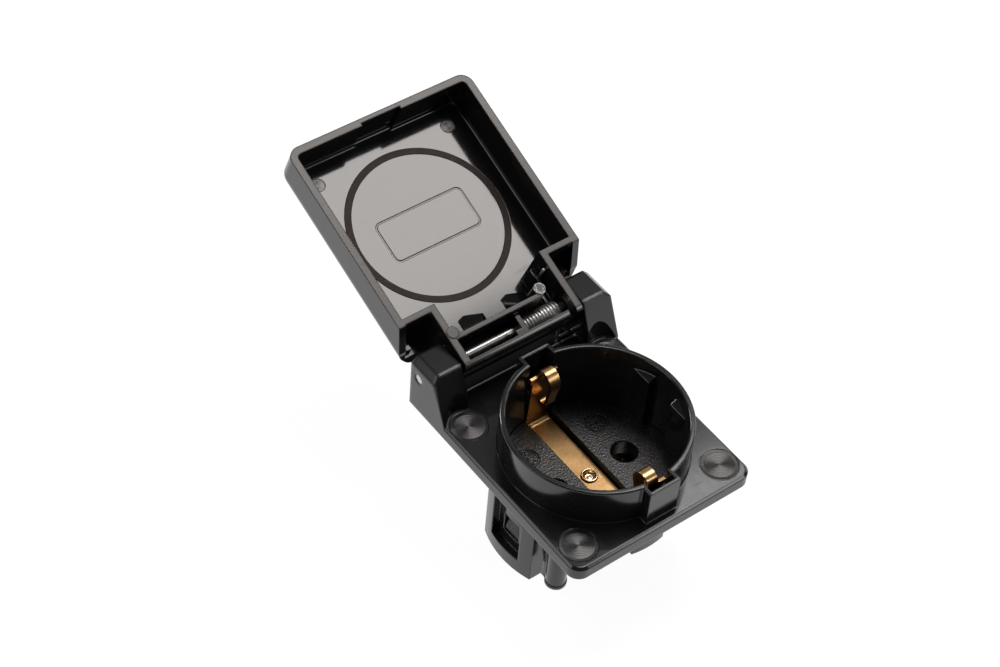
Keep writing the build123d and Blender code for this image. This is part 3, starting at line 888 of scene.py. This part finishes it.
@dataclass
class DialMark:
    """Round plate with a rim, strokes and a hub, as a mould's date insert. Lengths are in millimetres."""

    radius: float = 2.45
    rim: float = 0.24
    rim_slant: float = 0.05
    rim_sides: int = 48
    rise: float = 0.14
    root: float = 0.02
    plate: float = 0.06
    strokes: int = 10
    stroke_in: float = 1.15
    stroke_out: float = 1.95
    stroke_wide: float = 0.26
    hub: float = 0.5
    hub_slant: float = 0.06
    hub_sides: int = 32
    middle: float = 0.02

    def shape(self, place: Matrix) -> Shape:
        """Shapes the mark.

        Args:
            place: the mark's middle, with its upright axis out of the surface.

        Returns:
            The vertices and the faces.
        """
        low, high = -self.root, self.rise
        inner = self.radius - self.rim
        rim = [(self.radius, -self.plate), (self.radius, low), (self.radius - self.rim_slant, high)]
        rim += [(inner + self.rim_slant, high), (inner, low)]
        hub = [(self.middle, low), (self.hub, low), (self.hub - self.hub_slant, high), (self.middle, high)]
        shapes = [turned(rim, place, self.rim_sides), turned(hub, place, self.hub_sides)]
        near, far, half = self.stroke_in, self.stroke_out, self.stroke_wide / 2
        corners = [(near, -half), (far, -half), (far, half), (near, half)]
        for i in range(self.strokes):
            spin = place @ Matrix.Rotation(FULL_TURN * i / self.strokes, 4, "Z")
            rings = [[spin @ (Vector((x, y, z)) * MM) for x, y in corners] for z in (low, high)]
            shapes.append(tube(rings))
        return joined(shapes)


class Assembly:
    """One sub-assembly: it builds its own pieces and dresses its solids."""

    def build(self) -> None:
        """Builds the pieces that the solids don't have."""

    def dress(self) -> None:
        """Gives the solids their finishes."""


@dataclass
class MountingFrame(Assembly):
    """The flange with its collar, posts, skirt and legs. Lengths are in millimetres."""

    node: str = "flange_frame"
    pad_at: float = 19.1
    pad_radius: float = 4.1
    pad_top: float = 3.19
    web_half: float = 3.22
    web_inner: float = 20.76
    web_reach: float = 21.82
    web_low: float = 0.05
    web_high: float = 0.75
    web_rise: float = 0.25
    web_steps: int = 10

    def web(self, turn: Matrix) -> Shape:
        """Shapes the web that closes one earth pocket at the flange's back.

        Args:
            turn: the turn that brings the web from the hinge side to its pocket.

        Returns:
            The vertices and the faces.
        """
        lean = math.asin(self.web_half / self.web_inner)
        outline = []
        for i in range(self.web_steps + 1):
            angle = lean * (2 * i / self.web_steps - 1)
            x, y = self.web_inner * math.sin(angle), self.web_inner * math.cos(angle)
            outline.append((x, y, self.web_high))
        ramp = self.web_high + self.web_rise
        outline += [(self.web_half, self.web_reach, ramp), (-self.web_half, self.web_reach, ramp)]
        low = [turn @ (Vector((x, y, self.web_low)) * MM) for x, y, _ in outline]
        high = [turn @ (Vector(point) * MM) for point in outline]
        return tube([low, high])

    def build(self) -> None:
        """Turns the rings of the corner pads and closes the earth pockets."""
        mark = TurnedMark(self.pad_radius)
        sides = (-self.pad_at, self.pad_at)
        places = [Vector((x, y, self.pad_top)) * MM for x in sides for y in sides]
        rings = joined([mark.shape(Matrix.Translation(place)) for place in places])
        pads = Workshop.piece("pad_rings", rings, Finish.TURNED, "black_plastic", smooth=False)
        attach(pads, "base")
        turns = (Matrix(), Matrix.Rotation(math.pi, 4, "Z"))
        pair = joined([self.web(turn) for turn in turns])
        webs = Workshop.piece("pocket_webs", pair, Finish.FRAME, "black_plastic", smooth=False)
        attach(webs, "base")

    def dress(self) -> None:
        """Gives the frame its finish."""
        Workshop.dress(self.node, Finish.FRAME)


@dataclass
class HingedLid(Assembly):
    """The lid and the ring that is let into it. Lengths are in millimetres."""

    node: str = "lid"
    ring: str = "lid_seal"
    place: LidPlace = OPEN_LID
    floor: float = -3.25
    mark_x: float = 17.6
    mark_reach: float = 50.4
    mark_radius: float = 1.5
    mark_pitch: float = 0.3
    mark_ridge: float = 0.012
    mark_sink: float = 0.1
    scar_x: float = 9.2
    scar_reach: float = 4.2
    scar_top: float = 6.45
    scar_middle: float = 0.02
    scar_hollow: float = 0.6
    scar_dip: float = 0.01
    scar_ring: float = 1.15
    scar_rise: float = 0.07
    scar_radius: float = 1.38
    scar_lip: float = 0.02
    scar_root: float = 0.05
    scar_sides: int = 48

    def marks(self) -> Shape:
        """Shapes the rings that the ejectors leave in the lid's front corners.

        Returns:
            The vertices and the faces.
        """
        mark = TurnedMark(self.mark_radius, self.mark_pitch, self.mark_ridge)
        depth = self.floor - self.mark_sink
        sides = (-self.mark_x, self.mark_x)
        return joined([mark.shape(self.place.at(x, self.mark_reach, depth)) for x in sides])

    def scar(self) -> Shape:
        """Shapes the torn ring that the moulding gate leaves on a boss.

        Returns:
            The vertices and the faces.
        """
        profile = [(self.scar_middle, -self.scar_root), (self.scar_radius, -self.scar_root)]
        profile += [(self.scar_radius, self.scar_lip), (self.scar_ring, self.scar_rise)]
        profile += [(self.scar_hollow, -self.scar_dip), (self.scar_middle, 0.0)]
        return turned(profile, self.place.at(self.scar_x, self.scar_reach, self.scar_top), self.scar_sides)

    def build(self) -> None:
        """Turns the rings of the ejector marks and the gate's scar."""
        marks = Workshop.piece("ejector_rings", self.marks(), Finish.TURNED, "black_plastic", smooth=False)
        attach(marks, "lid")
        scar = Workshop.piece("gate_scar", self.scar(), Finish.SCAR, "black_plastic", smooth=False)
        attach(scar, "lid")

    def dress(self) -> None:
        """Gives the lid and its ring their finishes."""
        Workshop.dress(self.node, Finish.LID)
        Workshop.dress(self.ring, Finish.RING)


@dataclass
class Hinge(Assembly):
    """The pin and the torsion spring on it. Lengths are in millimetres."""

    place: LidPlace = OPEN_LID
    wire: float = 0.75
    coil_mean: float = 1.75
    coil_turns: int = 11
    coil_left: float = 3.2
    coil_right: float = 13.4
    foot_end: float = 15.9
    foot_z: float = 1.975
    leg_x: float = 13.675
    leg_run: float = 2.56
    leg_reach: float = 8.1
    leg_tip: float = 4.6
    bend: float = 0.7
    sides: int = 14
    steps_per_turn: int = 40

    def coil_path(self) -> list[Vector]:
        """Winds the coil from the lid's leg to the foot on the flange.

        Returns:
            The centre line of the coil and its foot.
        """
        pin_y, pin_z = self.place.pin_y, self.place.pin_z
        # Sides of the pin where the leg and the foot leave the coil, in degrees about it.
        leg_side, foot_side = 90 - self.place.lid_open, 180
        turns = self.coil_turns + (foot_side - leg_side) / 360
        count = int(turns * self.steps_per_turn)
        low = self.coil_left + self.wire / 2
        high = self.coil_right - self.wire / 2
        path = []
        for i in range(count + 1):
            share = i / count
            turn = math.radians(leg_side) + FULL_TURN * turns * share
            y = pin_y + self.coil_mean * math.cos(turn)
            z = pin_z + self.coil_mean * math.sin(turn)
            path.append(Vector((low + (high - low) * share, y, z)) * MM)
        foot_y = pin_y - self.coil_mean
        knee = Vector((high, foot_y, self.foot_z)) * MM
        toe = Vector((self.foot_end, foot_y, self.foot_z)) * MM
        return path + rounded_path([path[-1], knee, toe], self.bend * MM)[1:]

    def leg_path(self) -> list[Vector]:
        """Runs the leg from the coil along the lid to its hook.

        Returns:
            The centre line of the leg that lies in the lid.
        """
        low = self.coil_left + self.wire / 2
        stops = (
            (low, 0.0, -self.coil_mean),
            (low, 0.0, -self.leg_run),
            (self.leg_x, 0.0, -self.leg_run),
            (self.leg_x, self.leg_reach, -self.leg_run),
            (self.leg_x, self.leg_reach, self.leg_tip),
        )
        return rounded_path([self.place.point(*stop) for stop in stops], self.bend * MM)

    def build(self) -> None:
        """Winds the spring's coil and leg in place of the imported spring."""
        radius = self.wire / 2 * MM
        coil_shape = wire_along(self.coil_path(), radius, self.sides)
        leg_shape = wire_along(self.leg_path(), radius, self.sides)
        coil = Workshop.piece("spring_coil", coil_shape, Finish.WIRE, "spring_wire")
        leg = Workshop.piece("spring_leg", leg_shape, Finish.WIRE, "spring_wire")
        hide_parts("lid_spring")
        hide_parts("lid_spring")
        right = self.place.point(self.coil_right, 0.0, 0.0)
        left = self.place.point(self.coil_left, 0.0, 0.0)
        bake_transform(coil)
        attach(leg, "lid")

    def dress(self) -> None:
        """Gives the pin its finish."""
        Workshop.dress("hinge_pin", Finish.STEEL)


@dataclass
class EarthClips(Assembly):
    """The brass earth strip with its rolled rivet. Lengths are in millimetres, the angle in degrees."""

    strip_top: float = -7.3
    roll_at: float = 1.66
    roll: float = 0.29
    roll_under: float = 50.0
    roll_steps: int = 14
    shank: float = 1.5
    bowl: float = 1.2
    bowl_deep: float = 0.6
    crumb: float = 0.5
    crumb_high: float = 0.3
    foot: float = -13.8
    foot_head: float = 2.1
    foot_high: float = 0.6
    middle: float = 0.02
    sides: int = 64

    def rivet(self) -> Shape:
        """Shapes the rivet with a bowl, a rolled head, a shank and a foot.

        Returns:
            The vertices and the faces.
        """
        top = self.strip_top
        centre = top + self.roll * math.sin(math.radians(self.roll_under))
        bottom = top - self.bowl_deep
        profile = [(self.middle, bottom + self.crumb_high), (self.crumb, bottom), (self.bowl, bottom)]
        for i in range(self.roll_steps + 1):
            turn = math.radians(180 - (180 + self.roll_under) * i / self.roll_steps)
            profile.append((self.roll_at + self.roll * math.cos(turn), centre + self.roll * math.sin(turn)))
        low = self.foot + self.foot_high
        profile += [(self.shank, top), (self.shank, low), (self.foot_head, low)]
        profile += [(self.foot_head, self.foot), (self.middle, self.foot)]
        return turned(profile[::-1], Matrix(), self.sides)

    def build(self) -> None:
        """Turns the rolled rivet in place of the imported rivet."""
        rivet = Workshop.piece("rivet_roll", self.rivet(), Finish.ROLLED_BRASS, "brass")
        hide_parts("earth_rivet")
        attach(rivet, "base")

    def dress(self) -> None:
        """Gives the strip and the earth terminal their finish."""
        for node in ("earth_strip", "earth_terminal"):
            Workshop.dress(node, Finish.BRASS)


@dataclass
class ContactInsert(Assembly):
    """The insert behind the recess floor, with its contacts and cover. Lengths are in millimetres."""

    mark_x: float = 9.5
    mark_y: float = 10.0
    mark_floor: float = -5.6

    def build(self) -> None:
        """Adds the dials in the floor's round sinks."""
        mark = DialMark()
        places = [Vector((x, self.mark_y, self.mark_floor)) * MM for x in (-self.mark_x, self.mark_x)]
        pair = joined([mark.shape(Matrix.Translation(place)) for place in places])
        dials = Workshop.piece("floor_dials", pair, Finish.TURNED, "insert_plastic", smooth=False)
        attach(dials, "base")

    def dress(self) -> None:
        """Gives the insert's pieces their finishes."""
        for node in ("contact_base", "rear_cover"):
            Workshop.dress(node, Finish.INSERT)
        for pole in ("line", "neutral"):
            # The contacts' brass is darkened as painted shade of the pin holes.
            Workshop.dress(pole + "_contact", Finish.TARNISH_AND_SHADE_BRASS)
            Workshop.dress(pole + "_band", Finish.STEEL)


@dataclass
class Terminals(Assembly):
    """Clamp plates and screws on the back."""

    poles: tuple[str, ...] = ("line", "neutral", "earth")
    cover_sides: tuple[str, ...] = ("left", "right")

    def dress(self) -> None:
        """Gives the clamps and screws their finish."""
        for pole in self.poles:
            Workshop.dress(pole + "_clamp", Finish.ZINC)
            Workshop.dress(pole + "_screw", Finish.ZINC)
        for side in self.cover_sides:
            Workshop.dress("cover_screw_" + side, Finish.ZINC)


class Aim(Enum):
    """Where a studio light faces."""

    OBJECT = "object"
    DOWN = "down"


@dataclass(frozen=True)
class SoftBox:
    """One rectangular studio light with an even glow. Lengths are in metres."""

    name: str
    place: Point
    size: Span
    glow: float
    aim: Aim = Aim.OBJECT
    tint: Colour = WHITE
    object_middle: Point = (0.0, 0.03, 0.01)

    def target(self) -> Point:
        """Returns the point that the light faces."""
        return self.object_middle if self.aim is Aim.OBJECT else (*self.place[:2], 0.0)

    def build(self) -> None:
        """Makes the light."""
        light = bpy.data.lights.new(self.name, "AREA")
        light.shape = "RECTANGLE"
        light.size, light.size_y = self.size
        light.energy = self.glow * math.pi * self.size[0] * self.size[1]
        light.color = self.tint
        lamp = bpy.data.objects.new(self.name, light)
        bpy.context.scene.collection.objects.link(lamp)
        lamp.location = self.place
        lamp.rotation_mode = "QUATERNION"
        lamp.rotation_quaternion = (Vector(self.target()) - Vector(self.place)).to_track_quat("-Z", "Y")


@dataclass
class Studio:
    """Camera, lights, surroundings and floor.

    Lengths are in metres, the lens and the sensor in millimetres, angles in degrees.
    """

    azimuth: float = -40.68
    elevation: float = 47.75
    roll: float = 5.33
    eye: Point = (-0.22062, -0.22267, 0.38001)
    lens: float = 82.476
    sensor: float = 36.0
    nearest: float = 0.01
    surroundings: float = 0.1
    floor_gap: float = 0.0006
    floor_half: float = 2.5
    floor_tone: Colour = (0.86, 0.86, 0.86)
    floor_white: float = 1.1
    floor_share: float = 0.86
    boxes: tuple[SoftBox, ...] = (
        SoftBox("key_box", (0.275, 0.0915, 0.58), (0.36, 0.237), 8.6, Aim.DOWN, WARM_WHITE),
        SoftBox("key_fringe", (0.275, -0.042, 0.58), (0.36, 0.03), 1.6, Aim.DOWN, WARM_WHITE),
        SoftBox("sky_panel", (0.5, 0.52, 0.86), (1.2, 1.2), 0.22),
        SoftBox("back_box", (-0.25, 1.2, 0.42), (0.4, 0.3), 18.0),
        SoftBox("side_panel", (0.365, 0.283, 0.58), (0.09, 0.032), 8.4, Aim.DOWN),
        SoftBox("right_box", (1.3, -0.05, 0.3), (0.4, 0.3), 4.0),
        SoftBox("back_sweep", (0.3, 1.5, 0.16), (2.6, 0.34), 1.0),
        SoftBox("left_box", (-0.75, 0.25, 0.55), (0.5, 0.5), 2.0),
        SoftBox("front_box", (0.61, -0.76, 0.45), (0.4, 0.34), 4.5),
    )

    def camera(self) -> None:
        """Sets the camera at the photo's viewing angle."""
        a, e, r = (math.radians(v) for v in (self.azimuth, self.elevation, self.roll))
        back = Vector((math.sin(a) * math.cos(e), -math.cos(a) * math.cos(e), math.sin(e)))
        right = Vector((math.cos(a), math.sin(a), 0.0))
        up = back.cross(right)
        across = right * math.cos(r) + up * math.sin(r)
        upright = up * math.cos(r) - right * math.sin(r)
        turn = Matrix((across, upright, back)).transposed().to_4x4()
        camera = bpy.data.objects.new("camera", bpy.data.cameras.new("camera"))
        bpy.context.scene.collection.objects.link(camera)
        camera.matrix_world = Matrix.Translation(self.eye) @ turn
        camera.data.sensor_fit = "HORIZONTAL"
        camera.data.sensor_width = self.sensor
        camera.data.lens = self.lens
        camera.data.clip_start = self.nearest
        bpy.context.scene.camera = camera

    def lights(self) -> None:
        """Hangs the soft boxes."""
        for box in self.boxes:
            box.build()

    def world(self) -> None:
        """Fills the surroundings with an even grey."""
        world = bpy.data.worlds.new("studio")
        world.use_nodes = True
        shade = world.node_tree.nodes["Background"]
        shade.inputs["Color"].default_value = (*WHITE, 1.0)
        shade.inputs["Strength"].default_value = self.surroundings
        bpy.context.scene.world = world

    def floor_material(self) -> bpy.types.Material:
        """Builds a white that stays white to the eye and in mirrors, and keeps a soft shadow.

        Returns:
            The material.
        """
        board = NodeBoard("white_floor")
        rays = board.add("ShaderNodeLightPath").outputs
        seen = board.combine("MAXIMUM", rays["Is Camera Ray"], rays["Is Glossy Ray"])
        seen = board.combine("MAXIMUM", seen, rays["Is Transmission Ray"])
        matt = board.add("ShaderNodeBsdfDiffuse")
        board.feed(matt.inputs["Color"], (*self.floor_tone, 1.0))
        glow = board.add("ShaderNodeEmission")
        board.feed(glow.inputs["Strength"], self.floor_white)
        blend = board.add("ShaderNodeMixShader")
        share, first, second = blend.inputs
        board.feed(share, board.combine("MULTIPLY", seen, self.floor_share))
        board.feed(first, matt.outputs["BSDF"])
        board.feed(second, glow.outputs["Emission"])
        return board.close(blend.outputs["Shader"])

    def floor(self) -> None:
        """Lays the white floor just under the object."""
        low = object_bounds()[0].z - self.floor_gap
        h = self.floor_half
        mesh = bpy.data.meshes.new("floor")
        mesh.from_pydata([(-h, -h, low), (h, -h, low), (h, h, low), (-h, h, low)], [], [(0, 1, 2, 3)])
        mesh.materials.append(self.floor_material())
        floor = bpy.data.objects.new("floor", mesh)
        bpy.context.scene.collection.objects.link(floor)
        floor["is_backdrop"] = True

    def build(self) -> None:
        """Sets the whole studio."""
        self.camera()
        self.lights()
        self.world()
        self.floor()
        bpy.context.scene.view_settings.view_transform = "Standard"


def main() -> None:
    """Builds and dresses the assemblies in order."""
    logging.basicConfig(level=logging.INFO, format="%(message)s")
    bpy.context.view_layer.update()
    for assembly in (MountingFrame(), HingedLid(), Hinge(), EarthClips(), ContactInsert(), Terminals()):
        assembly.build()
        assembly.dress()
    Studio().build()


if __name__ == "__main__":
    main()
